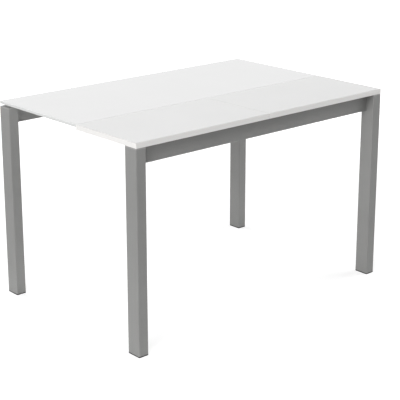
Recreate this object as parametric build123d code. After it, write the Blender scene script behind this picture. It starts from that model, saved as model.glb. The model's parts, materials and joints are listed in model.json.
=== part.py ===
from build123d import *
import os

# Extendable dining table, open, with its folding leaf laid in.
# X runs along the table, Y from the front (leaf) to the rear (glass), Z up from the floor. Millimetres.

# Top
top_length = 1200.0
top_depth = 800.0
table_height = 750.0
leaf_depth = 326.0
leaf_thickness = 19.0
glass_thickness = 10.0
glass_corner = 3.0
glass_arris = 1.0
seam_gap = 1.0
leaf_corner = 2.0
edging_wall = 1.5
edging_round = 0.6

# Legs, feet and caps
leg_width = 40.0
leg_depth = 60.0
tube_wall = 1.5
tube_round = 3.0
foot_flange = 4.0
cap_flange = 4.0
flange_round = 1.0
plug_length = 18.0
plug_wall = 2.5
plug_clearance = 0.2

# Aprons and the spigots that carry them
apron_height = 60.0
apron_depth = 25.0
apron_round = 2.0
apron_drop = 1.0
spigot_length = 80.0
spigot_wall = 2.0
spigot_clearance = 0.2
spigot_screw_first = 25.0
spigot_screw_pitch = 35.0

# Telescopic slides
rail_inset = 178.0
rail_height = 40.0
rail_depth = 26.0
rail_wall = 2.0
rail_lip = 7.0
rail_bend = 1.0
slide_gap = 2.0
running_clearance = 0.3
rail_end_gap = 4.0
glide_length = 30.0
stop_radius = 4.0
stop_clearance = 0.5
stop_shank_radius = 2.0
plate_thickness = 4.0
plate_width = 60.0
plate_height = 48.0
plate_screw_edge = 10.0
plate_round = 4.0

# Cross beams, arms, buffers and bumpers
beam_depth = 30.0
beam_height = 20.0
beam_round = 2.0
beam_plug_flange = 2.0
rear_beam_setback = 45.0
closed_gap = 14.0
buffer_radius = 9.5
buffer_inset = 200.0
arm_thickness = 6.0
arm_width = 70.0
arm_reach = 30.0
arm_on_rail = 240.0
arm_round = 8.0
centre_arm_width = 50.0
bumper_radius = 8.0
bumper_round = 1.5
seam_bumper_gap = 7.0
span_bumper_gap = 44.0

# Glass fixings
disc_radius = 20.0
disc_round = 1.0
disc_front_setback = 20.0
disc_rear_setback = 25.0
rear_disc_x = 300.0
rear_disc_radius = 12.0
pad_radius = 10.0
pad_setback = 24.0

# Screws
screw_radius = 3.0
screw_clearance = 0.15
screw_head_radius = 5.5
screw_head_height = 3.3
screw_head_round = 2.0
screw_socket = 2.0
screw_grip = 6.0
screw_tip_gap = 0.5

# Leaf hinges
hinge_length = 60.0
hinge_pitch = 160.0
hinge_width = 24.0
hinge_sheet = 1.5
hinge_set_in = 0.1
knuckle_radius = 2.2
knuckle_count = 5
knuckle_gap = 0.4
knuckle_clearance = 0.4
pin_radius = 1.2
pin_clearance = 0.05
pocket_clearance = 0.2
wood_screw_radius = 1.6
wood_screw_head = 3.0
wood_screw_cone = 1.4
wood_screw_length = 12.0
wood_screw_pitch = 22.0
wood_screw_setback = 15.0

# Places that follow from the sizes
end_x = top_length / 2
front_y = -top_depth / 2
rear_y = top_depth / 2
seam_y = front_y + leaf_depth
glass_front = seam_y + seam_gap / 2
leaf_rear = seam_y - seam_gap / 2
leaf_mid_y = (front_y + leaf_rear) / 2
leaf_under = table_height - leaf_thickness
glass_under = table_height - glass_thickness
rail_top = leaf_under - arm_thickness
leg_top = leaf_under - running_clearance
apron_top = rail_top - apron_drop
apron_bottom = apron_top - apron_height
leg_inner_x = end_x - leg_width
front_apron_inner = front_y + leg_depth
rear_apron_inner = rear_y - apron_depth
travel = leaf_depth
rail_x = end_x - rail_inset
rail_front = front_apron_inner + travel + closed_gap
outer_rear = rear_apron_inner
mid_rear = outer_rear - plate_thickness - rail_end_gap
mid_shift = travel / 2
beam_top = rail_top - rail_height
beam_bottom = beam_top - beam_height
rear_beam_front = rear_apron_inner - rear_beam_setback - beam_depth
rail_mid_z = rail_top - rail_height / 2
arm_front = leaf_rear - arm_reach
arm_rear = rail_front + arm_on_rail
arm_x = rail_x - arm_width
disc_x = arm_x + disc_radius
arm_disc_ys = (rail_front + disc_front_setback, arm_rear - disc_rear_setback)
rear_disc_y = rear_y - apron_depth / 2
arm_top = rail_top + arm_thickness
bumper_top = leaf_under - running_clearance
seam_bumper_x = centre_arm_width / 2 + seam_bumper_gap + bumper_radius
span_bumper_x = arm_x - span_bumper_gap - bumper_radius
stop_height = slide_gap - stop_clearance
hinge_z = leaf_under - knuckle_radius - knuckle_clearance
hinge_edge = seam_gap / 2 + hinge_set_in
upward = (0, 0, 1)


def block(x0, x1, y0, y1, z0, z1):
    """Rectangular solid between two corners."""
    return Pos((x0 + x1) / 2, (y0 + y1) / 2, (z0 + z1) / 2) * Box(x1 - x0, y1 - y0, z1 - z0)


def rounded(width, height, corner):
    """Rectangle about the origin, with round corners where the corner radius is more than nothing."""
    if corner > 0:
        return RectangleRounded(width, height, corner)
    return Rectangle(width, height)


def area(x0, x1, z0, z1, corner=0.0):
    """Rectangle between two corners of a section."""
    return Pos((x0 + x1) / 2, (z0 + z1) / 2) * rounded(x1 - x0, z1 - z0, corner)


def along_x(section, x0, x1):
    """Carry a section drawn in Y and Z from x0 to x1."""
    return extrude(Plane.YZ.offset(x0) * section, amount=x1 - x0)


def along_y(section, y0, y1):
    """Carry a section drawn in X and Z from y0 to y1."""
    return extrude(Plane.XZ.offset(-y1) * section, amount=y1 - y0)


def upright(x, y, z0, z1, radius):
    """Round bar standing between two heights."""
    return Pos(x, y, z0) * Cylinder(radius, z1 - z0, align=(Align.CENTER, Align.CENTER, Align.MIN))


def other_side(solid):
    """The same piece on the left half of the table."""
    return mirror(solid, about=Plane.YZ)


def both_sides(solids):
    """Right-hand solids and their left-hand twins."""
    return solids + [other_side(solid) for solid in solids]


def button_screw(at, into, grip):
    """Button-head screw with a hexagon socket: its head sits on the point, its shank runs into the work."""
    base = (Align.CENTER, Align.CENTER, Align.MIN)
    head = Pos(0, 0, -screw_head_height) * Cylinder(screw_head_radius, screw_head_height, align=base)
    head = fillet(head.edges().sort_by(Axis.Z)[0], screw_head_round)
    head -= Pos(0, 0, -screw_head_height) * extrude(RegularPolygon(screw_socket, 6), screw_socket)
    return Plane(origin=at, z_dir=into) * (head + Cylinder(screw_radius, grip, align=base))


def screw_hole(at, into, depth):
    """Clearance hole for a button-head screw, from the point into the work."""
    hole = Cylinder(screw_radius + screw_clearance, depth, align=(Align.CENTER, Align.CENTER, Align.MIN))
    return Plane(origin=at, z_dir=into) * hole


def leg(y0):
    """Right-hand leg: rectangular tube between its foot and its cap."""
    outline = rounded(leg_width, leg_depth, tube_round)
    bore = rounded(leg_width - 2 * tube_wall, leg_depth - 2 * tube_wall, tube_round - tube_wall)
    tube = extrude(outline - bore, leg_top - cap_flange - foot_flange)
    return Pos(end_x - leg_width / 2, y0 + leg_depth / 2, foot_flange) * tube


def plug(y0, flange, z_flange, inward):
    """Moulded plug for an end of a right-hand leg: a flange as wide as the leg and a skirt inside it."""
    slack = 2 * (tube_wall + plug_clearance)
    corner = tube_round - tube_wall
    plate = extrude(rounded(leg_width, leg_depth, tube_round), flange)
    outer_edges = plate.edges().group_by(Axis.Z)[0 if inward > 0 else -1]
    plate = fillet(outer_edges, flange_round)
    skirt = rounded(leg_width - slack, leg_depth - slack, corner)
    skirt -= rounded(leg_width - slack - 2 * plug_wall, leg_depth - slack - 2 * plug_wall, corner)
    start = flange if inward > 0 else -plug_length
    plate += Pos(0, 0, start) * extrude(skirt, plug_length)
    return Pos(end_x - leg_width / 2, y0 + leg_depth / 2, z_flange) * plate


def apron_section(y0, wall_outside, wall):
    """Hollow rectangular section in the apron's envelope, moved in by wall_outside."""
    y1 = y0 + apron_depth
    inner = wall_outside + wall
    outline = area(y0 + wall_outside, y1 - wall_outside,
                   apron_bottom + wall_outside, apron_top - wall_outside, apron_round - wall_outside)
    return outline - area(y0 + inner, y1 - inner, apron_bottom + inner, apron_top - inner)


def spigot_screw_places(y0):
    """Points on the apron's underside below the right-hand spigot."""
    first = leg_inner_x - spigot_screw_first
    return [(first - n * spigot_screw_pitch, y0 + apron_depth / 2, apron_bottom) for n in range(2)]


def plate_screw_places(face_y):
    """Points on a right-hand rail's end plate, one each side of the rail."""
    mid_x = rail_x - rail_depth / 2
    reach = plate_width / 2 - plate_screw_edge
    return [(mid_x + side * reach, face_y, rail_mid_z) for side in (-1, 1)]


def apron(y0, inner_face, into, carries_glass):
    """Apron tube between two legs, drilled for the spigots, the slides and, at the rear, the glass."""
    tube = along_x(apron_section(y0, 0.0, tube_wall), -leg_inner_x, leg_inner_x)
    holes = [screw_hole(at, into, apron_depth / 2) for at in plate_screw_places(inner_face)]
    holes += [screw_hole(at, upward, apron_height / 2) for at in spigot_screw_places(y0)]
    if carries_glass:
        holes.append(screw_hole((rear_disc_x, rear_disc_y, apron_bottom), upward, apron_height))
    for hole in both_sides(holes):
        tube -= hole
    return tube


def spigot(y0):
    """Right-hand spigot: a tube on the leg's inner face that fills the apron's end."""
    section = apron_section(y0, tube_wall + spigot_clearance, spigot_wall)
    solid = along_x(section, leg_inner_x - spigot_length, leg_inner_x)
    for at in spigot_screw_places(y0):
        solid -= screw_hole(at, upward, apron_height / 2)
    return solid


def rail_limits(level):
    """Section limits of the right-hand outer (0), mid (1) or inner (2) rail: x0, x1, z0, z1."""
    step = level * (rail_wall + slide_gap)
    return rail_x - rail_depth + step, rail_x - step, rail_top - rail_height + step, rail_top - step


def channel_section(level):
    """Lipped channel, open towards the middle of the table."""
    x0, x1, z0, z1 = rail_limits(level)
    wall = rail_wall
    section = area(x0, x1, z0, z1, rail_bend + wall)
    section -= area(x0 + wall, x1 - wall, z0 + wall, z1 - wall, rail_bend)
    return section - area(x0, x0 + wall, z0 + rail_lip, z1 - rail_lip)


def tube_section(level):
    """Closed tube, for the innermost rail."""
    x0, x1, z0, z1 = rail_limits(level)
    wall = rail_wall
    bore = area(x0 + wall, x1 - wall, z0 + wall, z1 - wall, rail_bend)
    return area(x0, x1, z0, z1, rail_bend + wall) - bore


def glide_section(level, on_outer):
    """Three-sided nylon liner between two nested rails, fixed to one of them and running on the other."""
    x0, x1, z0, z1 = rail_limits(level)
    inner_x0, inner_x1, inner_z0, inner_z1 = rail_limits(level + 1)
    off_outer = rail_wall + (0.0 if on_outer else running_clearance)
    off_inner = running_clearance if on_outer else 0.0
    liner = area(inner_x0 + rail_lip, x1 - off_outer, z0 + off_outer, z1 - off_outer, rail_bend)
    hollow = area(x0, inner_x1 + off_inner, inner_z0 - off_inner, inner_z1 + off_inner, rail_bend)
    return liner - hollow


def end_plate(y0):
    """Plate welded across a right-hand rail's end, drilled for its screws."""
    mid_x = rail_x - rail_depth / 2
    outline = area(mid_x - plate_width / 2, mid_x + plate_width / 2,
                   apron_top - plate_height, apron_top, plate_round)
    plate = along_y(outline, y0, y0 + plate_thickness)
    for at in plate_screw_places(y0):
        plate -= screw_hole(at, (0, 1, 0), plate_thickness)
    return plate


def stop_rivet(level, y):
    """Rivet in the web of a right-hand channel, whose head stands in the way of the next rail's glide."""
    x1 = rail_limits(level)[1]
    base = (Align.CENTER, Align.CENTER, Align.MIN)
    rivet = Cylinder(stop_shank_radius, rail_wall, align=base)
    rivet += Pos(0, 0, rail_wall) * Cylinder(stop_radius, stop_height, align=base)
    return Plane(origin=(x1, y, rail_mid_z), z_dir=(-1, 0, 0)) * rivet


def rivet_hole(level, y):
    """Hole for a stop rivet's shank."""
    x1 = rail_limits(level)[1]
    hole = Cylinder(stop_shank_radius + pin_clearance, 2 * rail_wall)
    return Plane(origin=(x1, y, rail_mid_z), z_dir=(-1, 0, 0)) * hole


def bumper(x, y, z0):
    """Rubber button with a rounded top."""
    button = upright(x, y, z0, bumper_top, bumper_radius)
    return fillet(button.edges().sort_by(Axis.Z)[-1], bumper_round)


def wood_screw(x, y, growth):
    """Countersunk screw driven up into the leaf; growth widens it into its own hole."""
    base = (Align.CENTER, Align.CENTER, Align.MIN)
    head = Cone(wood_screw_head + growth, wood_screw_radius + growth, wood_screw_cone, align=base)
    shank = Cylinder(wood_screw_radius + growth, wood_screw_length + growth, align=base)
    return Pos(x, y, leaf_under) * (head + shank)


def wood_screw_places():
    """Places of the screws of both right-hand hinge plates."""
    return [(wood_screw_setback, mid + n * wood_screw_pitch) for mid in hinge_mids() for n in (-1, 0, 1)]


def hinge_mids():
    """Middles of the two leaf hinges along the cross seam."""
    return [leaf_mid_y - hinge_pitch / 2, leaf_mid_y + hinge_pitch / 2]


def hinge_plate(mid, side):
    """Half a butt hinge: a plate let into the leaf and every second knuckle, on the side -1 or 1."""
    y0 = mid - hinge_length / 2
    y1 = mid + hinge_length / 2
    plate_top = leaf_under + hinge_sheet
    plate = block(hinge_edge, hinge_edge + hinge_width, y0, y1, leaf_under, plate_top)
    pitch = hinge_length / knuckle_count
    for n in range(0 if side < 0 else 1, knuckle_count, 2):
        start = y0 + n * pitch + knuckle_gap / 2
        end = start + pitch - knuckle_gap
        barrel = along_y(Pos(0, hinge_z) * Circle(knuckle_radius), start, end)
        neck = block(hinge_edge, knuckle_radius, start, end, hinge_z, plate_top)
        plate += barrel + neck
    plate -= along_y(Pos(0, hinge_z) * Circle(pin_radius + pin_clearance), y0, y1)
    for x, y in wood_screw_places():
        if abs(y - mid) < hinge_length / 2:
            plate -= wood_screw(x, y, pin_clearance)
    return plate if side > 0 else other_side(plate)


def leaf_half():
    """Right half of the leaf: a board and the edge band round it, both let in for the hinges."""
    x0 = seam_gap / 2
    outline = area(x0, end_x, front_y, leaf_rear, leaf_corner)
    core = area(x0 + edging_wall, end_x - edging_wall, front_y + edging_wall, leaf_rear - edging_wall)
    board = Pos(0, 0, leaf_under) * extrude(core, leaf_thickness)
    slab = Pos(0, 0, leaf_under) * extrude(outline, leaf_thickness)
    rims = slab.edges().group_by(Axis.Z)
    band = fillet(rims[0] + rims[-1], edging_round) - board
    reach = hinge_edge + hinge_width + pocket_clearance
    for mid in hinge_mids():
        half = hinge_length / 2 + pocket_clearance
        pocket = block(0, reach, mid - half, mid + half, leaf_under, leaf_under + hinge_sheet)
        board -= pocket
        band -= pocket
    for x, y in wood_screw_places():
        board -= wood_screw(x, y, pin_clearance)
    return board, band


def glass_pane():
    """Glass top with rounded corners and ground arrises."""
    outline = area(-end_x, end_x, glass_front, rear_y, glass_corner)
    pane = Pos(0, 0, glass_under) * extrude(outline, glass_thickness)
    rims = pane.edges().group_by(Axis.Z)
    return chamfer(rims[0] + rims[-1], glass_arris)


def beam_area(y0, inset, corner=0.0):
    """Section of a cross beam's envelope, moved in by the inset."""
    return area(y0 + inset, y0 + beam_depth - inset, beam_bottom + inset, beam_top - inset, corner)


def beam(y0):
    """Cross beam: a rectangular tube under both outer rails."""
    return along_x(beam_area(y0, 0.0, beam_round) - beam_area(y0, tube_wall), -rail_x, rail_x)


def beam_plug(y0):
    """Moulded plug in the right-hand end of a cross beam."""
    skirt_inset = tube_wall + plug_clearance
    head = along_x(beam_area(y0, 0.0, beam_round), rail_x, rail_x + beam_plug_flange)
    head = fillet(head.edges().group_by(Axis.X)[-1], flange_round)
    skirt = beam_area(y0, skirt_inset) - beam_area(y0, skirt_inset + plug_wall)
    return head + along_x(skirt, rail_x - plug_length, rail_x)


def flat_arm(x0, x1, y0, y1):
    """Flat bar level with the leaf's underside, with rounded corners."""
    return Pos(0, 0, rail_top) * extrude(area(x0, x1, y0, y1, arm_round), arm_thickness)


def glass_disc(x, y, z0, radius):
    """Disc bonded under the glass, with a blind hole for its screw."""
    disc = upright(x, y, z0, glass_under, radius)
    disc = fillet(disc.edges().group_by(Axis.Z)[0], disc_round)
    return disc - screw_hole((x, y, z0), upward, screw_grip)


def save(name, solids):
    """Write one node: a single solid, or a group of like solids."""
    shape = solids[0] if len(solids) == 1 else Compound(children=solids)
    export_step(shape, os.path.join("parts", name + ".step"))


def save_pair(name, solid):
    """Write a piece's right-hand and left-hand nodes."""
    save(name + "_right", [solid])
    save(name + "_left", [other_side(solid)])


def build_end_frame(end, leg_y0, apron_y0, inner_face, into, carries_glass):
    """Two legs and an apron, with their feet, caps, spigots and screws."""
    save_pair("leg_" + end, leg(leg_y0))
    save_pair("foot_" + end, plug(leg_y0, foot_flange, 0.0, 1))
    save_pair("leg_cap_" + end, plug(leg_y0, cap_flange, leg_top - cap_flange, -1))
    save("apron_" + end, [apron(apron_y0, inner_face, into, carries_glass)])
    save_pair("spigot_" + end, spigot(apron_y0))
    grip = tube_wall + spigot_clearance + spigot_wall + screw_grip
    screws = [button_screw(at, upward, grip) for at in spigot_screw_places(apron_y0)]
    save("apron_screws_" + end, both_sides(screws))


def build_slides():
    """Outer, mid and inner rails on both sides, with their glides, stops and end-plate screws."""
    mid_y0 = rail_front + rail_end_gap - mid_shift
    mid_y1 = mid_rear - mid_shift
    inner_y1 = mid_rear - rail_end_gap - travel
    outer_stop_y = mid_y1 - glide_length - running_clearance - stop_radius
    mid_stop_y = inner_y1 - glide_length - running_clearance - stop_radius

    outer = along_y(channel_section(0), rail_front, outer_rear - plate_thickness)
    outer += end_plate(outer_rear - plate_thickness)
    save_pair("outer_rail", outer - rivet_hole(0, outer_stop_y))
    save_pair("mid_rail", along_y(channel_section(1), mid_y0, mid_y1) - rivet_hole(1, mid_stop_y))
    inner = along_y(tube_section(2), front_apron_inner + plate_thickness, inner_y1)
    save_pair("inner_rail", inner + end_plate(front_apron_inner))

    save("outer_glides", both_sides([along_y(glide_section(0, True), rail_front, rail_front + glide_length)]))
    save("mid_glides", both_sides([along_y(glide_section(0, False), mid_y1 - glide_length, mid_y1),
                                   along_y(glide_section(1, True), mid_y0, mid_y0 + glide_length)]))
    save("inner_glides", both_sides([along_y(glide_section(1, False), inner_y1 - glide_length, inner_y1)]))
    save("outer_stops", both_sides([stop_rivet(0, outer_stop_y)]))
    save("mid_stops", both_sides([stop_rivet(1, mid_stop_y)]))

    grip = plate_thickness + tube_wall + screw_grip
    rear = [button_screw(at, (0, 1, 0), grip) for at in plate_screw_places(outer_rear - plate_thickness)]
    front = [button_screw(at, (0, -1, 0), grip)
             for at in plate_screw_places(front_apron_inner + plate_thickness)]
    save("rail_screws_rear", both_sides(rear))
    save("rail_screws_front", both_sides(front))


def build_carrier():
    """Cross beams and arms between the outer rails, the closing buffers and the leaf's bumpers."""
    save("cross_beam_front", [beam(rail_front)])
    save("cross_beam_rear", [beam(rear_beam_front)])
    save("beam_plugs", both_sides([beam_plug(rail_front), beam_plug(rear_beam_front)]))

    side_arm = flat_arm(arm_x, rail_x, arm_front, arm_rear)
    for y in arm_disc_ys:
        side_arm -= screw_hole((disc_x, y, rail_top), upward, arm_thickness)
    save_pair("leaf_arm", side_arm)

    half = centre_arm_width / 2
    centre_arm = flat_arm(-half, half, arm_front, rail_front)
    centre_arm += block(-half, half, rail_front - arm_thickness, rail_front, beam_bottom, arm_top)
    save("leaf_arm_centre", [centre_arm])

    buffer_front = rail_front - closed_gap + running_clearance
    mid_z = (beam_top + beam_bottom) / 2
    buffer = along_y(Pos(buffer_inset, mid_z) * Circle(buffer_radius), buffer_front, rail_front)
    save("closing_buffers", both_sides([buffer]))

    apron_mid = front_apron_inner - apron_depth / 2
    bumpers = [bumper(x, apron_mid, apron_top) for x in (seam_bumper_x, span_bumper_x)]
    save("leaf_bumpers", both_sides(bumpers))


def build_glass():
    """Glass top, the discs that it is bonded to, their screws and the soft pads at its front."""
    discs = [glass_disc(disc_x, y, arm_top, disc_radius) for y in arm_disc_ys]
    discs.append(glass_disc(rear_disc_x, rear_disc_y, apron_top, rear_disc_radius))
    grip = screw_grip - screw_tip_gap
    screws = [button_screw((disc_x, y, rail_top), upward, arm_thickness + grip) for y in arm_disc_ys]
    screws.append(button_screw((rear_disc_x, rear_disc_y, apron_bottom), upward, apron_height + grip))
    save("glass_top", [glass_pane()])
    save("glass_discs", both_sides(discs))
    save("glass_screws", both_sides(screws))
    pads = [upright(arm_x + arm_width / 2, glass_front + pad_setback, arm_top, glass_under, pad_radius)]
    centre_pad = upright(0, glass_front + pad_setback, arm_top, glass_under, pad_radius)
    save("glass_pads", both_sides(pads) + [centre_pad])


def build_leaf():
    """Both halves of the leaf and the hinges under their seam."""
    board, band = leaf_half()
    save_pair("leaf_board", board)
    save_pair("leaf_edging", band)
    save("hinge_plates_right", [hinge_plate(mid, 1) for mid in hinge_mids()])
    save("hinge_plates_left", [hinge_plate(mid, -1) for mid in hinge_mids()])
    screws = [wood_screw(x, y, 0.0) for x, y in wood_screw_places()]
    save("hinge_screws_right", screws)
    save("hinge_screws_left", [other_side(screw) for screw in screws])
    pins = [along_y(Pos(0, hinge_z) * Circle(pin_radius), mid - hinge_length / 2, mid + hinge_length / 2)
            for mid in hinge_mids()]
    save("hinge_pins", pins)


os.makedirs("parts", exist_ok=True)
build_end_frame("front", front_y, front_apron_inner - apron_depth, front_apron_inner, (0, -1, 0), False)
build_end_frame("rear", rear_y - leg_depth, rear_apron_inner, rear_apron_inner, (0, 1, 0), True)
build_slides()
build_carrier()
build_glass()
build_leaf()
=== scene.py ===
import json
import math

import bpy
import numpy as np
from bpy.props import FloatProperty, FloatVectorProperty, PointerProperty
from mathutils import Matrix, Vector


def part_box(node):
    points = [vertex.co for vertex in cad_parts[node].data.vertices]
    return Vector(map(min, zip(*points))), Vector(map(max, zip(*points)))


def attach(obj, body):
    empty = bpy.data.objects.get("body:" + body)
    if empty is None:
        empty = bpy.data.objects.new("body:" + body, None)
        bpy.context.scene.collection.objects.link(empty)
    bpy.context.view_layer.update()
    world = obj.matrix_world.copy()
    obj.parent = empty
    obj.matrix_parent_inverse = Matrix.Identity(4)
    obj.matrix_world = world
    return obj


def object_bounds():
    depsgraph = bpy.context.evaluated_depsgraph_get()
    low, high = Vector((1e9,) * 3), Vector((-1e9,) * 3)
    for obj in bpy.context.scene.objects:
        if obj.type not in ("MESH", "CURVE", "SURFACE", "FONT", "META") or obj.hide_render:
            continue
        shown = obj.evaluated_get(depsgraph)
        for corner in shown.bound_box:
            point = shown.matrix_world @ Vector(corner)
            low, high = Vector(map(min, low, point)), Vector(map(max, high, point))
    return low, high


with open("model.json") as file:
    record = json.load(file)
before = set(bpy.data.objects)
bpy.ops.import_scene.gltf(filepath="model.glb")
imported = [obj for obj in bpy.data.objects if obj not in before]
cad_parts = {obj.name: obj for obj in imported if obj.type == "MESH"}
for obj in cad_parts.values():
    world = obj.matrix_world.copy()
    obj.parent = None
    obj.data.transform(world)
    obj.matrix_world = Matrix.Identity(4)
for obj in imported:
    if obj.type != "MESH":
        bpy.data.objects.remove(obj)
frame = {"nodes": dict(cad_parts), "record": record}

bl_info = {
    "name": "Extendable dining table",
    "version": (1, 0, 0),
    "blender": (4, 5, 0),
    "location": "View3D > Sidebar > Dining table",
    "description": "Finishes, weld beads, bond lines and studio for an extendable glass and laminate table",
    "category": "Object",
}

cad_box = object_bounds()
WHITE = (1.0, 1.0, 1.0)

# Rails of a slide, from the outside in.
OUTER_RAIL, MID_RAIL, INNER_RAIL = range(3)

# Sizes of the part that the added pieces are set against, in metres.
RAIL_STEP = 0.004
PLATE_THICKNESS = 0.004
EDGING_ROUND = 0.0006

# Room for the weld beads, in metres: off a bend, and below and above the plate's screws.
BEND_CLEAR = 0.003
SCREW_CLEAR_LOW = 0.0135
SCREW_CLEAR_HIGH = 0.0265

# Weld stitches between a rail and its arm: the length of one, in metres, and how many there are.
STITCH_LENGTH = 0.03
STITCHES_ON_ARM = 3

# Least way along the table's depth from one glass disc to the next, in metres.
DISC_SPACING = 0.01

# Steps of the added surfaces, and the share of its leg that a bead is sunk behind both faces.
BEAD_ARC_POINTS = 5
BEAD_SUNK = 0.3
RINGS_PER_RIPPLE = 4
FEWEST_BEAD_RINGS = 12
BOND_STEPS = 48
FLOOR_RINGS = 6
FLOOR_SECTORS = 48

# Shares of the pane's thickness at which its underside ends and its upper face begins.
PANE_UNDER = 0.01
PANE_TOP = 0.99

# Distance between two rings that a lathe tool leaves, in metres.
TURNED_PITCH = 0.0005

# Places of a Mix node's colour sockets.
MIX_FACTOR, MIX_FIRST, MIX_SECOND = 0, 6, 7
MIX_RESULT = 2


def colour(name, description, default):
    """Colour setting in linear RGB."""
    return FloatVectorProperty(name=name, description=description, subtype="COLOR", size=3,
                               min=0.0, max=1.0, default=default)


def length(name, description, default):
    """Length setting in metres."""
    return FloatProperty(name=name, description=description, unit="LENGTH", min=0.0, precision=5,
                         default=default)


def place(name, description, default):
    """Setting of a point in metres."""
    return FloatVectorProperty(name=name, description=description, subtype="TRANSLATION", unit="LENGTH",
                               default=default)


def share(name, description, default):
    """Setting between nothing and one."""
    return FloatProperty(name=name, description=description, subtype="FACTOR", min=0.0, max=1.0,
                         default=default)


def power(name, description, default):
    """Power setting in watts."""
    return FloatProperty(name=name, description=description, unit="POWER", min=0.0, default=default)


class TableColours(bpy.types.PropertyGroup):
    """Colours of the table's finishes."""

    frame_paint: colour("Frame paint", "Silver-grey powder coat of the frame", (0.295, 0.295, 0.289))
    leg_caps: colour("Leg caps", "Moulded caps on the legs", (0.36, 0.36, 0.355))
    feet: colour("Feet", "Moulded black feet and tube plugs", (0.007, 0.007, 0.0075))
    zinc: colour("Zinc plate", "Screws, rivets, pins and hinge plates", (0.62, 0.63, 0.64))
    rails: colour("Rail steel", "Zinc plated roll-formed slides", (0.52, 0.53, 0.54))
    nylon: colour("Nylon", "Glides of the slides", (0.78, 0.77, 0.71))
    rubber: colour("Rubber", "Buffers and bumpers", (0.022, 0.022, 0.022))
    glass_top: colour("Glass top", "White lacquer seen through the glass", (0.732, 0.732, 0.732))
    glass_edge: colour("Glass edge", "Ground edge of the glass", (0.74, 0.747, 0.74))
    glass_under: colour("Lacquer", "White lacquer on the underside of the glass", (0.76, 0.76, 0.75))
    discs: colour("Discs", "Turned aluminium discs bonded to the glass", (0.74, 0.75, 0.76))
    silicone: colour("Silicone", "Clear pads and bond lines under the glass", (0.72, 0.73, 0.72))
    leaf: colour("Leaf", "White laminate of the leaf", (0.708, 0.708, 0.705))
    edging: colour("Edge band", "Edge band round the leaf", (0.945, 0.93, 0.912))
    # Painted shade: a darker tone along the band's rounded rim, standing for the shade in the seams round the
    # leaf.
    edging_seam_shade: colour("Edge band rim", "Trimmed rim of the edge band, where the glue line shows",
                       (0.58, 0.58, 0.57))
    floor: colour("Floor", "Pale studio floor under the table", (0.95, 0.95, 0.95))
    floor_far: colour("Far floor", "Studio floor away from the table", (0.3, 0.3, 0.3))


class TableDetails(bpy.types.PropertyGroup):
    """Sizes of the pieces that are added to the part."""

    bead_leg: length("Bead leg", "Leg length of a weld bead", 0.0025)
    ripple_pitch: length("Ripple pitch", "Distance between two ripples of a weld bead", 0.0018)
    ripple_depth: share("Ripple depth", "Ripple height as a share of the bead", 0.12)
    bond_leg: length("Bond leg", "Leg length of the bond line round a glass disc", 0.0004)


class TableStudio(bpy.types.PropertyGroup):
    """Camera, floor and light."""

    camera_place: place("Camera place", "Where the camera stands", (-2.892, -3.2851, 1.7483))
    camera_yaw: FloatProperty(name="Camera yaw", description="Turn from the table's depth towards its length",
                              subtype="ANGLE", default=0.7267)
    camera_pitch: FloatProperty(name="Camera pitch", description="Tilt below the horizon",
                                subtype="ANGLE", default=0.2856)
    lens: FloatProperty(name="Lens", description="Focal length in millimetres on a 36 mm sensor",
                        min=1.0, default=107.586)
    frame_shift: FloatProperty(name="Frame shift", description="Upward shift of the frame, in frame widths",
                               default=-0.08)
    floor_radius: length("Floor radius", "Reach of the floor from the table's middle", 30.0)
    floor_gap: length("Floor gap", "Distance of the floor below the feet", 0.0002)
    pale_reach: length("Pale reach", "Reach of the palest part of the floor", 0.6)
    far_reach: length("Far reach", "Reach at which the floor has its far colour", 2.4)
    fade_start: length("Fade start", "Reach at which the floor begins to go over into white", 1.5)
    fade_end: length("Fade end", "Reach at which the floor is all white", 4.0)
    floor_glow: share("Floor glow", "White of the seen floor that takes no shadow", 0.66)
    floor_shade: share("Floor shade", "White of the seen floor that takes the shadow", 0.5)
    world_level: share("World level", "Light from all round", 0.05)
    light_size: length("Light size", "Side of each soft light", 4.0)
    key_place: place("Key place", "Middle of the soft light at the left", (-5.49, -2.56, 3.9))
    key_power: power("Key power", "Strength of the soft light at the left", 352.0)
    fill_place: place("Fill place", "Middle of the soft light at the right", (5.7, -2.07, 3.9))
    fill_power: power("Fill power", "Strength of the soft light at the right", 287.0)
    back_place: place("Back place", "Middle of the soft light behind", (-0.8, 4.5, 5.6))
    back_power: power("Back power", "Strength of the soft light behind", 300.0)


def put(tree, socket, value):
    """Set a socket, or link it where the value is another node's socket."""
    if isinstance(value, bpy.types.NodeSocket):
        tree.links.new(value, socket)
    else:
        socket.default_value = value


def node(tree, kind, inputs=None):
    """New node with its named sockets set or linked."""
    made = tree.nodes.new(kind)
    for name, value in (inputs or {}).items():
        put(tree, made.inputs[name], value)
    return made


def maths(tree, operation, first, second=0.0):
    """Result of one sum on two numbers."""
    made = node(tree, "ShaderNodeMath", {0: first, 1: second})
    made.operation = operation
    return made.outputs[0]


def tinted(shade, factor=1.0):
    """Colour made lighter or darker by a factor, as the four numbers that a colour stop takes."""
    return tuple(min(1.0, part * factor) for part in shade) + (1.0,)


def new_finish(name, inputs):
    """New node material and its Principled shader, with plain sockets set."""
    material = bpy.data.materials.new(name)
    material.use_nodes = True
    tree = material.node_tree
    shader = tree.nodes["Principled BSDF"]
    for socket, value in inputs.items():
        put(tree, shader.inputs[socket], value)
    return material, tree, shader


def on_object(tree):
    """Object coordinates, which are the part's own frame."""
    return node(tree, "ShaderNodeTexCoord").outputs["Object"]


def height(tree):
    """Height above the floor of the table at rest."""
    return node(tree, "ShaderNodeSeparateXYZ", {"Vector": on_object(tree)}).outputs["Z"]


def grain(tree, cells, detail=2.0, stretch=(1.0, 1.0, 1.0)):
    """Noise on Object coordinates: cells per metre, times the stretch along each axis."""
    mapping = node(tree, "ShaderNodeMapping", {"Vector": on_object(tree), "Scale": stretch})
    noise = node(tree, "ShaderNodeTexNoise", {"Vector": mapping.outputs["Vector"], "Scale": cells,
                                              "Detail": detail})
    return noise.outputs["Fac"]


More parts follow.
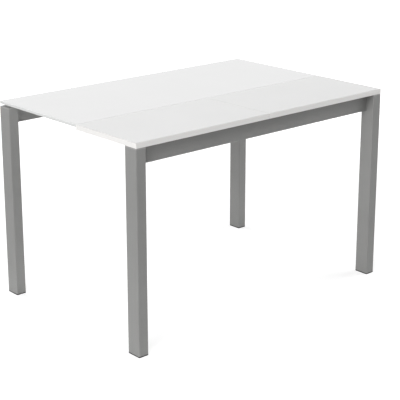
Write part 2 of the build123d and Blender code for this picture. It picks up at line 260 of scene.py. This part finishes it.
def spread(tree, value, low, high, start=0.3, end=0.7):
    """Number that goes from low to high as the value goes from start to end."""
    mapped = node(tree, "ShaderNodeMapRange", {"Value": value, "From Min": start, "From Max": end,
                                               "To Min": low, "To Max": high})
    return mapped.outputs["Result"]


def shades(tree, value, stops, steps=False):
    """Colour picked along a row of stops, blended or in steps."""
    ramp = node(tree, "ShaderNodeValToRGB", {"Fac": value})
    band = ramp.color_ramp
    band.interpolation = "CONSTANT" if steps else "LINEAR"
    while len(band.elements) < len(stops):
        band.elements.new(1.0)
    for element, (position, shade) in zip(band.elements, stops):
        element.position = position
        element.color = shade
    return ramp.outputs["Color"]


def times(tree, first, second):
    """Product of two colours."""
    mix = node(tree, "ShaderNodeMix")
    mix.data_type = "RGBA"
    mix.blend_type = "MULTIPLY"
    put(tree, mix.inputs[MIX_FACTOR], 1.0)
    put(tree, mix.inputs[MIX_FIRST], first)
    put(tree, mix.inputs[MIX_SECOND], second)
    return mix.outputs[MIX_RESULT]


def raise_grain(tree, shader, pattern, depth):
    """Bump from a pattern, with the depth in metres from its low to its high places."""
    bump = node(tree, "ShaderNodeBump", {"Height": pattern, "Distance": depth, "Strength": 1.0})
    put(tree, shader.inputs["Normal"], bump.outputs["Normal"])


def cloudy(tree, shade, cells, depth, detail=2.0, stretch=(1.0, 1.0, 1.0)):
    """Colour that drifts about a shade by the given depth."""
    value = grain(tree, cells, detail, stretch)
    return shades(tree, value, [(0.3, tinted(shade, 1.0 - depth)), (0.7, tinted(shade, 1.0 + depth))])


def drift(tree, cells, depth, detail=2.0, stretch=(1.0, 1.0, 1.0)):
    """Grey just below white that drifts up to white, to be multiplied into a colour."""
    level = 1.0 / (1.0 + depth)
    return cloudy(tree, (level, level, level), cells, depth, detail, stretch)


def powder_coat(name, shade):
    """Silver powder coat: fine metal flakes, a slow drift of tone and the skin of orange peel."""
    material, tree, shader = new_finish(name, {"Metallic": 0.08, "IOR": 1.5, "Specular IOR Level": 0.3})
    flakes = shades(tree, grain(tree, cells=1800.0), [(0.32, tinted(shade, 0.86)), (0.5, tinted(shade)),
                                                      (0.68, tinted(shade)), (0.74, tinted(shade, 1.35))])
    put(tree, shader.inputs["Base Color"], times(tree, flakes, drift(tree, cells=7.0, depth=0.03)))
    put(tree, shader.inputs["Roughness"], spread(tree, grain(tree, cells=900.0), low=0.36, high=0.48))
    raise_grain(tree, shader, grain(tree, cells=420.0, detail=3.0), depth=0.00006)
    return material


def moulded_plastic(name, shade, gloss, roughness, depth):
    """Moulded plastic with a spark-eroded skin and faint flow marks."""
    material, tree, shader = new_finish(name, {"IOR": 1.49, "Specular IOR Level": gloss})
    flow = drift(tree, cells=60.0, depth=depth, detail=3.0, stretch=(1.0, 1.0, 0.4))
    put(tree, shader.inputs["Base Color"], times(tree, cloudy(tree, shade, cells=1400.0, depth=depth), flow))
    sheen = spread(tree, grain(tree, cells=700.0), low=roughness - 0.07, high=roughness + 0.07)
    put(tree, shader.inputs["Roughness"], sheen)
    raise_grain(tree, shader, grain(tree, cells=2200.0, detail=3.0), depth=0.00005)
    return material


def zinc_plate(name, shade):
    """Bright zinc plate: small crystals in tone, and gloss that differs from one to the next."""
    material, tree, shader = new_finish(name, {"Metallic": 1.0})
    put(tree, shader.inputs["Base Color"], cloudy(tree, shade, cells=500.0, depth=0.06, detail=3.0))
    put(tree, shader.inputs["Roughness"], spread(tree, grain(tree, cells=300.0), low=0.26, high=0.40))
    raise_grain(tree, shader, grain(tree, cells=700.0), depth=0.000004)
    return material


def rolled_steel(name, shade):
    """Plated strip steel: lines of the rolls along the slide, over a cloudy plating."""
    material, tree, shader = new_finish(name, {"Metallic": 1.0, "Anisotropic": 0.3})
    lines = grain(tree, cells=900.0, detail=3.0, stretch=(1.0, 0.02, 1.0))
    drawn = shades(tree, lines, [(0.3, tinted(shade, 0.82)), (0.7, tinted(shade, 1.08))])
    put(tree, shader.inputs["Base Color"], times(tree, drawn, drift(tree, cells=45.0, depth=0.05)))
    plating = grain(tree, cells=120.0, detail=4.0)
    put(tree, shader.inputs["Roughness"], spread(tree, plating, low=0.28, high=0.44))
    raise_grain(tree, shader, lines, depth=0.00002)
    return material


def natural_nylon(name, shade):
    """Natural nylon: milky, with soft light under its skin."""
    material, tree, shader = new_finish(name, {"IOR": 1.53, "Subsurface Weight": 0.25,
                                               "Subsurface Radius": (0.004, 0.003, 0.002),
                                               "Subsurface Scale": 1.0})
    put(tree, shader.inputs["Base Color"], cloudy(tree, shade, cells=220.0, depth=0.04, detail=3.0))
    put(tree, shader.inputs["Roughness"], spread(tree, grain(tree, cells=800.0), low=0.38, high=0.52))
    raise_grain(tree, shader, grain(tree, cells=900.0), depth=0.00003)
    return material


def soft_rubber(name, shade):
    """Dull black rubber with a dusty bloom."""
    material, tree, shader = new_finish(name, {"IOR": 1.5, "Specular IOR Level": 0.3})
    bloom = shades(tree, grain(tree, cells=160.0, detail=4.0), [(0.45, tinted(shade, 0.8)),
                                                                (0.75, tinted(shade, 1.8))])
    put(tree, shader.inputs["Base Color"], bloom)
    put(tree, shader.inputs["Roughness"], spread(tree, grain(tree, cells=600.0), low=0.66, high=0.84))
    raise_grain(tree, shader, grain(tree, cells=1500.0, detail=3.0), depth=0.00005)
    return material


def lacquered_glass(name, top, edge, under):
    """Glass with white lacquer behind it: polished above, ground at its edges, dull below.

    The height within the pane says which of the three a point is on.
    """
    material, tree, shader = new_finish(name, {"IOR": 1.52})
    low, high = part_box("glass_top")
    level = spread(tree, height(tree), low=0.0, high=1.0, start=low.z, end=high.z)
    faces = shades(tree, level, [(0.0, tinted(under)), (PANE_UNDER, tinted(edge)), (PANE_TOP, tinted(top))],
                   steps=True)
    put(tree, shader.inputs["Base Color"], times(tree, faces, drift(tree, cells=3.0, depth=0.01)))
    dull = shades(tree, level, [(0.0, tinted(WHITE, 0.42)), (PANE_UNDER, tinted(WHITE, 0.22)),
                                (PANE_TOP, tinted(WHITE, 0.035))], steps=True)
    put(tree, shader.inputs["Roughness"], times(tree, dull, drift(tree, cells=18.0, depth=0.1, detail=4.0)))
    return material


def turned_aluminium(name, shade, centres):
    """Aluminium with the rings of a lathe tool round each disc's own middle."""
    material, tree, shader = new_finish(name, {"Metallic": 1.0})
    flat = node(tree, "ShaderNodeVectorMath", {0: on_object(tree), 1: (1.0, 1.0, 0.0)})
    flat.operation = "MULTIPLY"
    nearest = None
    for x, y in centres:
        apart = node(tree, "ShaderNodeVectorMath", {0: flat.outputs[0], 1: (x, y, 0.0)})
        apart.operation = "DISTANCE"
        reach = apart.outputs["Value"]
        nearest = reach if nearest is None else maths(tree, "MINIMUM", nearest, reach)
    turns = maths(tree, "MULTIPLY", nearest, 2.0 * math.pi / TURNED_PITCH)
    rings = spread(tree, maths(tree, "SINE", turns), low=0.0, high=1.0, start=-1.0, end=1.0)
    put(tree, shader.inputs["Base Color"], shades(tree, rings, [(0.0, tinted(shade, 0.88)),
                                                                (1.0, tinted(shade, 1.05))]))
    put(tree, shader.inputs["Roughness"], spread(tree, grain(tree, cells=300.0), low=0.24, high=0.36))
    raise_grain(tree, shader, rings, depth=0.00003)
    return material


def clear_silicone(name, shade):
    """Cloudy clear silicone."""
    material, tree, shader = new_finish(name, {"IOR": 1.41, "Transmission Weight": 0.35})
    put(tree, shader.inputs["Base Color"], cloudy(tree, shade, cells=180.0, depth=0.05, detail=3.0))
    put(tree, shader.inputs["Roughness"], spread(tree, grain(tree, cells=500.0), low=0.30, high=0.45))
    raise_grain(tree, shader, grain(tree, cells=700.0), depth=0.00003)
    return material


def white_laminate(name, shade):
    """Pressed laminate: the fine pearl of its press plate and a hint of tone."""
    material, tree, shader = new_finish(name, {"IOR": 1.47})
    pearl = cloudy(tree, shade, cells=2600.0, depth=0.012)
    put(tree, shader.inputs["Base Color"], times(tree, pearl, drift(tree, cells=5.0, depth=0.012)))
    put(tree, shader.inputs["Roughness"], spread(tree, grain(tree, cells=1300.0), low=0.36, high=0.50))
    raise_grain(tree, shader, grain(tree, cells=1500.0, detail=3.0), depth=0.00003)
    return material


def edge_band(name, shade, rim):
    """Extruded edge band: faint lines along the edge, and a darker rim along the leaf's face that is painted
    shade of the seams round the leaf.

    The rim begins where the band's rounding does, below the board's upper face.
    """
    material, tree, shader = new_finish(name, {"IOR": 1.5})
    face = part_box("leaf_board_right")[1].z
    level = spread(tree, height(tree), low=0.0, high=1.0, start=face - EDGING_ROUND, end=face)
    # The rim tone is painted shade: it darkens the band's top rounding where the seams round the leaf fall in
    # shade.
    tone = shades(tree, level, [(0.0, tinted(shade)), (0.8, tinted(rim))])
    along = (0.03, 0.03, 1.0)
    lines = drift(tree, cells=700.0, depth=0.015, detail=3.0, stretch=along)
    put(tree, shader.inputs["Base Color"], times(tree, tone, lines))
    put(tree, shader.inputs["Roughness"], spread(tree, grain(tree, cells=900.0), low=0.30, high=0.42))
    raise_grain(tree, shader, grain(tree, cells=1200.0, stretch=along), depth=0.00002)
    return material


def dress(slot, material):
    """Give a finish to every node that the record puts in a material slot."""
    for row in frame["record"]["subparts"]:
        if row["material_slot"] == slot:
            for spot in frame["nodes"][row["node"]].material_slots:
                spot.material = material


def outwards(points, groups):
    """Closed surface with its faces turned over where its volume comes out negative.

    The volume is a sixth of the sum of the triple products of the corners of each triangle.
    """
    fans = [group[:, (0, n, n + 1)] for group in groups for n in range(1, group.shape[1] - 1)]
    a, b, c = points[np.vstack(fans)].transpose(1, 0, 2)
    volume = np.einsum("ij,ij->i", a, np.cross(b, c)).sum()
    return points, groups if volume > 0 else [group[:, ::-1] for group in groups]


def capped_sweep(rings):
    """Closed surface through a row of rings: quads between them, and a fan to a pole at each end."""
    count, around = rings.shape[0] - 2, rings.shape[1]
    points = np.vstack([rings[0].mean(axis=0), rings[1:-1].reshape(-1, 3), rings[-1].mean(axis=0)])
    index = 1 + np.arange(count * around).reshape(count, around)
    after = np.roll(index, -1, axis=1)
    quads = np.stack([index[:-1], after[:-1], after[1:], index[1:]], axis=-1).reshape(-1, 4)
    last = np.full(around, len(points) - 1)
    first_fan = np.stack([0 * last, after[0], index[0]], axis=-1)
    last_fan = np.stack([last, index[-1], after[-1]], axis=-1)
    return outwards(points, [quads, np.vstack([first_fan, last_fan])])


def ring_sweep(rings):
    """Closed surface through a circle of rings: quads all round both ways."""
    index = np.arange(rings.shape[0] * rings.shape[1]).reshape(rings.shape[:2])
    after = np.roll(index, -1, axis=1)
    quads = np.stack([index, after, np.roll(after, -1, axis=0), np.roll(index, -1, axis=0)], axis=-1)
    return outwards(rings.reshape(-1, 3), [quads.reshape(-1, 4)])


def fillet_profile():
    """Closed profile of a fillet in the corner of two faces, for a leg length of one.

    It is the arc (cos t, sin t) for t from nothing to a quarter turn, closed through a corner that is
    sunk behind both faces.
    """
    turn = np.linspace(0.0, math.pi / 2, BEAD_ARC_POINTS)
    arc = np.stack([np.cos(turn), np.sin(turn)], axis=-1)
    return np.vstack([(-BEAD_SUNK, -BEAD_SUNK), (1.0, -BEAD_SUNK), arc, (-BEAD_SUNK, 1.0)])


def weld_bead(start, end, across, up, details):
    """Weld bead along a corner line: the fillet profile carried from start to end.

    At the share s of the way the profile's size is leg * (1 + depth * cos(2 pi s length / pitch)),
    times the half ellipse sqrt(1 - e * e) where e runs from 1 to 0 over the last leg length at each end.
    """
    start, end, across, up = (np.array(point, dtype=float) for point in (start, end, across, up))
    run = np.linalg.norm(end - start)
    count = max(FEWEST_BEAD_RINGS, int(run / details.ripple_pitch * RINGS_PER_RIPPLE))
    along = np.linspace(0.0, run, count)
    ripple = 1.0 + details.ripple_depth * np.cos(2.0 * math.pi * along / details.ripple_pitch)
    to_end = np.minimum(along, run - along) / details.bead_leg
    taper = np.sqrt(1.0 - (1.0 - np.minimum(to_end, 1.0)) ** 2)
    size = details.bead_leg * ripple * taper
    path = start + along[:, None] / run * (end - start)
    profile = fillet_profile()
    section = profile[:, :1] * across + profile[:, 1:] * up
    return capped_sweep(path[:, None, :] + size[:, None, None] * section)


def bond_line(centre, radius, details):
    """Fillet of adhesive round a disc under the glass: the profile carried round a circle.

    At the turn t the profile's outward part is added to the radius and its other part hangs down.
    """
    turn = np.linspace(0.0, 2.0 * math.pi, BOND_STEPS, endpoint=False)
    out = np.stack([np.cos(turn), np.sin(turn), 0.0 * turn], axis=-1)
    profile = details.bond_leg * fillet_profile()
    reach = radius + profile[:, 0]
    drop = np.outer(profile[:, 1], (0.0, 0.0, -1.0))
    return ring_sweep(np.array(centre) + out[:, None, :] * reach[:, None] + drop)


def new_object(name, points, groups, material):
    """Object at the origin with the given points and groups of like-sided faces."""
    mesh = bpy.data.meshes.new(name)
    mesh.from_pydata(points.tolist(), [], [face for group in groups for face in group.tolist()])
    mesh.materials.append(material)
    made = bpy.data.objects.new(name, mesh)
    bpy.context.scene.collection.objects.link(made)
    return made


def joined_piece(name, surfaces, body, material):
    """One smooth object made of several closed surfaces, riding on a body of the table."""
    starts = np.cumsum([0] + [len(points) for points, groups in surfaces])
    moved = [group + start for (points, groups), start in zip(surfaces, starts) for group in groups]
    piece = new_object(name, np.vstack([points for points, groups in surfaces]), moved, material)
    polygons = piece.data.polygons
    polygons.foreach_set("use_smooth", np.ones(len(polygons), dtype=bool))
    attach(piece, body)


def mirrored(lines):
    """Corner lines of the right half of the table and of the left half."""
    flip = np.array((-1.0, 1.0, 1.0))
    return lines + [tuple(np.array(part) * flip for part in line) for line in lines]


def rail_section(rail):
    """Limits in X and Z of the right-hand outer or inner rail, from the mid rail between them."""
    low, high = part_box("mid_rail_right")
    grow = RAIL_STEP * (MID_RAIL - rail)
    return low.x - grow, high.x + grow, low.z - grow, high.z + grow


def rear_plate_lines():
    """Corner lines between the right-hand outer rail and its end plate."""
    x0, x1, z0, z1 = rail_section(OUTER_RAIL)
    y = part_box("outer_rail_right")[1].y - PLATE_THICKNESS
    out, down, along = (1, 0, 0), (0, 0, -1), (0, -1, 0)
    return [((x1, y, z0 + BEND_CLEAR), (x1, y, z0 + SCREW_CLEAR_LOW), out, along),
            ((x1, y, z0 + SCREW_CLEAR_HIGH), (x1, y, z1 - BEND_CLEAR), out, along),
            ((x0 + BEND_CLEAR, y, z0), (x1 - BEND_CLEAR, y, z0), down, along)]


def front_plate_lines():
    """Corner lines between the right-hand inner rail and its end plate."""
    x0, x1, z0, z1 = rail_section(INNER_RAIL)
    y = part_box("inner_rail_right")[0].y + PLATE_THICKNESS
    along = (0, 1, 0)
    upright = [((x, y, z0 + BEND_CLEAR), (x, y, z1 - BEND_CLEAR), (side, 0, 0), along)
               for x, side in ((x0, -1), (x1, 1))]
    level = [((x0 + BEND_CLEAR, y, z), (x1 - BEND_CLEAR, y, z), (0, 0, side), along)
             for z, side in ((z0, -1), (z1, 1))]
    return upright + level


def beam_lines():
    """Corner lines between the right-hand outer rail and the cross beams below it."""
    x0, x1, z0, _ = rail_section(OUTER_RAIL)
    lines = []
    for beam, sides in (("cross_beam_front", (1,)), ("cross_beam_rear", (-1, 1))):
        low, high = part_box(beam)
        lines.append(((x0, low.y + BEND_CLEAR, z0), (x0, high.y - BEND_CLEAR, z0), (-1, 0, 0), (0, 0, 1)))
        for side in sides:
            y = high.y if side > 0 else low.y
            lines.append(((x0 + BEND_CLEAR, y, z0), (x1 - BEND_CLEAR, y, z0), (0, side, 0), (0, 0, -1)))
    return lines


def arm_lines():
    """Stitches between the right-hand outer rail and its arm, and the corner line of the centre arm's leg."""
    x0, _, _, z1 = rail_section(OUTER_RAIL)
    low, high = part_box("cross_beam_front")
    first = low.y + STITCH_LENGTH
    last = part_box("leaf_arm_right")[1].y - STITCH_LENGTH
    lines = [((x0, y - STITCH_LENGTH / 2, z1), (x0, y + STITCH_LENGTH / 2, z1), (-1, 0, 0), (0, 0, -1))
             for y in np.linspace(first, last, STITCHES_ON_ARM)]
    side_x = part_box("leaf_arm_centre")[1].x
    foot = (side_x, low.y, low.z + BEND_CLEAR)
    head = (side_x, low.y, high.z - BEND_CLEAR)
    return lines + [(foot, head, (1, 0, 0), (0, -1, 0))]


def disc_circles():
    """Middle and radius of each disc, from the separate shells of the discs' node."""
    mesh = frame["nodes"]["glass_discs"].data
    points = np.empty(len(mesh.vertices) * 3)
    mesh.vertices.foreach_get("co", points)
    points = points.reshape(-1, 3)
    circles = {}
    for side in (-1, 1):
        half = points[points[:, 0] * side > 0]
        half = half[np.argsort(half[:, 1])]
        cuts = np.where(np.diff(half[:, 1]) > DISC_SPACING)[0] + 1
        for shell in np.split(half, cuts):
            low, high = shell.min(axis=0), shell.max(axis=0)
            middle = (low + high) / 2
            circles[(middle[0], middle[1], high[2])] = (high[0] - low[0]) / 2
    return circles


class TableOperator:
    """What every step of the table shares."""

    bl_options = {"REGISTER", "UNDO"}


class TABLE_OT_finish_frame(TableOperator, bpy.types.Operator):
    """Coat the legs, aprons, spigots, beams and arms"""

    bl_idname = "dining_table.finish_frame"
    bl_label = "Coat the frame"

    def execute(self, context):
        dress("frame_paint", powder_coat("silver_powder_coat", context.scene.table_colours.frame_paint))
        return {"FINISHED"}


class TABLE_OT_finish_plastics(TableOperator, bpy.types.Operator):
    """Finish the leg caps, feet and tube plugs"""

    bl_idname = "dining_table.finish_plastics"
    bl_label = "Finish caps and feet"

    def execute(self, context):
        colours = context.scene.table_colours
        dress("cap_grey", moulded_plastic("grey_moulding", colours.leg_caps, gloss=0.5, roughness=0.42,
                                          depth=0.03))
        dress("foot_black", moulded_plastic("black_moulding", colours.feet, gloss=0.1, roughness=0.65,
                                            depth=0.15))
        return {"FINISHED"}


class TABLE_OT_finish_slides(TableOperator, bpy.types.Operator):
    """Finish the telescopic rails and their nylon glides"""

    bl_idname = "dining_table.finish_slides"
    bl_label = "Finish the slides"

    def execute(self, context):
        colours = context.scene.table_colours
        dress("rail_steel", rolled_steel("rolled_rail_steel", colours.rails))
        dress("nylon", natural_nylon("natural_nylon", colours.nylon))
        return {"FINISHED"}


class TABLE_OT_finish_fixings(TableOperator, bpy.types.Operator):
    """Finish the screws, rivets and hinges, and the rubber buffers and bumpers"""

    bl_idname = "dining_table.finish_fixings"
    bl_label = "Finish the fixings"

    def execute(self, context):
        colours = context.scene.table_colours
        dress("zinc", zinc_plate("bright_zinc_plate", colours.zinc))
        dress("rubber_black", soft_rubber("black_rubber", colours.rubber))
        return {"FINISHED"}


class TABLE_OT_finish_glass(TableOperator, bpy.types.Operator):
    """Finish the glass top, its discs and its pads"""

    bl_idname = "dining_table.finish_glass"
    bl_label = "Finish the glass"

    def execute(self, context):
        colours = context.scene.table_colours
        dress("white_glass", lacquered_glass("white_lacquered_glass", colours.glass_top, colours.glass_edge,
                                             colours.glass_under))
        middles = [middle[:2] for middle in disc_circles()]
        dress("disc_aluminium", turned_aluminium("turned_aluminium", colours.discs, middles))
        dress("clear_silicone", clear_silicone("clear_silicone", colours.silicone))
        return {"FINISHED"}


class TABLE_OT_finish_leaf(TableOperator, bpy.types.Operator):
    """Finish the two halves of the leaf and their edge bands"""

    bl_idname = "dining_table.finish_leaf"
    bl_label = "Finish the leaf"

    def execute(self, context):
        colours = context.scene.table_colours
        dress("leaf_white", white_laminate("white_laminate", colours.leaf))
        dress("edge_white", edge_band("white_edge_band", colours.edging, colours.edging_seam_shade))
        return {"FINISHED"}


class TABLE_OT_add_welds(TableOperator, bpy.types.Operator):
    """Lay the weld beads between rails, plates, beams and arms"""

    bl_idname = "dining_table.add_welds"
    bl_label = "Lay the weld beads"

    def execute(self, context):
        details = context.scene.table_details
        steel = bpy.data.materials["rolled_rail_steel"]
        paint = bpy.data.materials["silver_powder_coat"]
        for name, lines, body, slot, material in (
                ("rail_welds_rear", rear_plate_lines(), "rear_frame", "rail_steel", steel),
                ("rail_welds_front", front_plate_lines(), "front_frame", "rail_steel", steel),
                ("carrier_welds", beam_lines() + arm_lines(), "rear_frame", "frame_paint", paint)):
            beads = [weld_bead(*line, details) for line in mirrored(lines)]
            joined_piece(name, beads, body, material)
        return {"FINISHED"}


class TABLE_OT_add_bonds(TableOperator, bpy.types.Operator):
    """Run the line of adhesive round each disc under the glass"""

    bl_idname = "dining_table.add_bonds"
    bl_label = "Run the bond lines"

    def execute(self, context):
        details = context.scene.table_details
        bonds = [bond_line(middle, radius, details) for middle, radius in disc_circles().items()]
        joined_piece("glass_bond_lines", bonds, "rear_frame",
                     bpy.data.materials["clear_silicone"])
        return {"FINISHED"}


def seen_rays(tree):
    """One for rays that show a surface straight or in gloss and glass, nothing for rays that light it."""
    path = node(tree, "ShaderNodeLightPath").outputs
    mirrored_or_clear = maths(tree, "MAXIMUM", path["Is Glossy Ray"], path["Is Transmission Ray"])
    return maths(tree, "MAXIMUM", path["Is Camera Ray"], mirrored_or_clear)


def floor_finish(near, far, studio):
    """Pale floor that looks white and keeps the shadow, and that isn't there when seen from below.

    It throws most light back close to the table, so the legs are lightest at the bottom.
    Away from the table the floor that shows goes over into the white all round it.
    """
    material = bpy.data.materials.new("pale_floor")
    material.use_nodes = True
    tree = material.node_tree
    tree.nodes.clear()
    radius = node(tree, "ShaderNodeVectorMath", {0: on_object(tree)})
    radius.operation = "LENGTH"
    reach = radius.outputs["Value"]
    away = spread(tree, reach, low=0.0, high=1.0, start=studio.pale_reach, end=studio.far_reach)
    tone = shades(tree, away, [(0.0, tinted(near)), (1.0, tinted(far))])
    lit = node(tree, "ShaderNodeBsdfDiffuse", {"Color": tone})
    glow = spread(tree, reach, low=studio.floor_glow, high=1.0, start=studio.fade_start, end=studio.fade_end)
    light = node(tree, "ShaderNodeEmission", {"Color": tinted(WHITE), "Strength": glow})
    shadow = node(tree, "ShaderNodeBsdfDiffuse", {"Color": tinted(WHITE, studio.floor_shade)})
    shown = node(tree, "ShaderNodeAddShader", {0: light.outputs[0], 1: shadow.outputs[0]})
    above = node(tree, "ShaderNodeMixShader", {0: seen_rays(tree), 1: lit.outputs[0], 2: shown.outputs[0]})
    below = node(tree, "ShaderNodeBsdfTransparent")
    side = node(tree, "ShaderNodeNewGeometry")
    both = node(tree, "ShaderNodeMixShader", {0: side.outputs["Backfacing"], 1: above.outputs[0],
                                              2: below.outputs[0]})
    node(tree, "ShaderNodeOutputMaterial", {"Surface": both.outputs[0]})
    return material


def lay_floor(studio, material):
    """Round floor: points at each radius and turn of a polar grid, with the middle closed by one point."""
    radius = np.linspace(0.0, studio.floor_radius, FLOOR_RINGS)[1:]
    turn = np.linspace(0.0, 2.0 * math.pi, FLOOR_SECTORS, endpoint=False)
    x = np.outer(radius, np.cos(turn))
    y = np.outer(radius, np.sin(turn))
    rings = np.stack([x, y, np.full_like(x, -studio.floor_gap)], axis=-1)
    points = np.vstack([(0.0, 0.0, -studio.floor_gap), rings.reshape(-1, 3)])
    index = 1 + np.arange(x.size).reshape(x.shape)
    after = np.roll(index, -1, axis=1)
    quads = np.stack([index[:-1], index[1:], after[1:], after[:-1]], axis=-1).reshape(-1, 4)
    fan = np.stack([0 * index[0], index[0], after[0]], axis=-1)
    new_object("studio_floor", points, [quads, fan], material)


def light_world(level):
    """White all round to look at, and a lower level to light the table with."""
    world = bpy.data.worlds.new("studio_world")
    bpy.context.scene.world = world
    world.use_nodes = True
    tree = world.node_tree
    tree.nodes.clear()
    light = node(tree, "ShaderNodeBackground", {"Color": tinted(WHITE), "Strength": level})
    shown = node(tree, "ShaderNodeBackground", {"Color": tinted(WHITE), "Strength": 1.0})
    both = node(tree, "ShaderNodeMixShader", {0: seen_rays(tree), 1: light.outputs[0], 2: shown.outputs[0]})
    node(tree, "ShaderNodeOutputWorld", {"Surface": both.outputs[0]})


def hang_light(name, middle, size, watts):
    """Square soft light that faces the middle of the table, and that gloss doesn't show as a square."""
    lamp = bpy.data.lights.new(name, "AREA")
    lamp.energy = watts
    lamp.size = size
    light = bpy.data.objects.new(name, lamp)
    bpy.context.scene.collection.objects.link(light)
    light.visible_glossy = False
    light.location = middle
    low, high = cad_box
    light.rotation_euler = ((low + high) / 2 - light.location).to_track_quat("-Z", "Y").to_euler()


def stand_camera(studio):
    """Camera at the photograph's viewing angle."""
    camera = bpy.data.objects.new("studio_camera", bpy.data.cameras.new("studio_camera"))
    bpy.context.scene.collection.objects.link(camera)
    camera.location = studio.camera_place
    camera.rotation_euler = (math.pi / 2 - studio.camera_pitch, 0.0, -studio.camera_yaw)
    camera.data.lens = studio.lens
    camera.data.shift_y = studio.frame_shift
    bpy.context.scene.camera = camera


class TABLE_OT_set_stage(TableOperator, bpy.types.Operator):
    """Lay the floor, light the studio and place the camera"""

    bl_idname = "dining_table.set_stage"
    bl_label = "Set the stage"

    def execute(self, context):
        scene = context.scene
        colours = scene.table_colours
        studio = scene.table_studio
        scene.view_settings.view_transform = "Standard"
        lay_floor(studio, floor_finish(colours.floor, colours.floor_far, studio))
        light_world(studio.world_level)
        hang_light("key_light", studio.key_place, studio.light_size, studio.key_power)
        hang_light("fill_light", studio.fill_place, studio.light_size, studio.fill_power)
        hang_light("back_light", studio.back_place, studio.light_size, studio.back_power)
        stand_camera(studio)
        return {"FINISHED"}


GROUPS = {"table_colours": TableColours, "table_details": TableDetails, "table_studio": TableStudio}
STEPS = (TABLE_OT_finish_frame, TABLE_OT_finish_plastics, TABLE_OT_finish_slides, TABLE_OT_finish_fixings,
         TABLE_OT_finish_glass, TABLE_OT_finish_leaf, TABLE_OT_add_welds, TABLE_OT_add_bonds,
         TABLE_OT_set_stage)


class TABLE_PT_panel(bpy.types.Panel):
    """Steps and settings of the dining table"""

    bl_idname = "TABLE_PT_panel"
    bl_label = "Dining table"
    bl_space_type = "VIEW_3D"
    bl_region_type = "UI"
    bl_category = "Dining table"

    def draw(self, context):
        for step in STEPS:
            self.layout.operator(step.bl_idname)
        for settings in GROUPS:
            group = getattr(context.scene, settings)
            box = self.layout.box()
            for name in group.__annotations__:
                box.prop(group, name)


def register():
    """Register the settings, the steps and the panel."""
    for name, group in GROUPS.items():
        bpy.utils.register_class(group)
        setattr(bpy.types.Scene, name, PointerProperty(type=group))
    for kind in STEPS + (TABLE_PT_panel,):
        bpy.utils.register_class(kind)


def unregister():
    """Take the panel, the steps and the settings out again."""
    for kind in reversed(STEPS + (TABLE_PT_panel,)):
        bpy.utils.unregister_class(kind)
    for name, group in GROUPS.items():
        delattr(bpy.types.Scene, name)
        bpy.utils.unregister_class(group)


def main():
    """Make every piece of the scene."""
    register()
    bpy.ops.dining_table.finish_frame()
    bpy.ops.dining_table.finish_plastics()
    bpy.ops.dining_table.finish_slides()
    bpy.ops.dining_table.finish_fixings()
    bpy.ops.dining_table.finish_glass()
    bpy.ops.dining_table.finish_leaf()
    bpy.ops.dining_table.add_welds()
    bpy.ops.dining_table.add_bonds()
    bpy.ops.dining_table.set_stage()


if __name__ == "__main__":
    main()
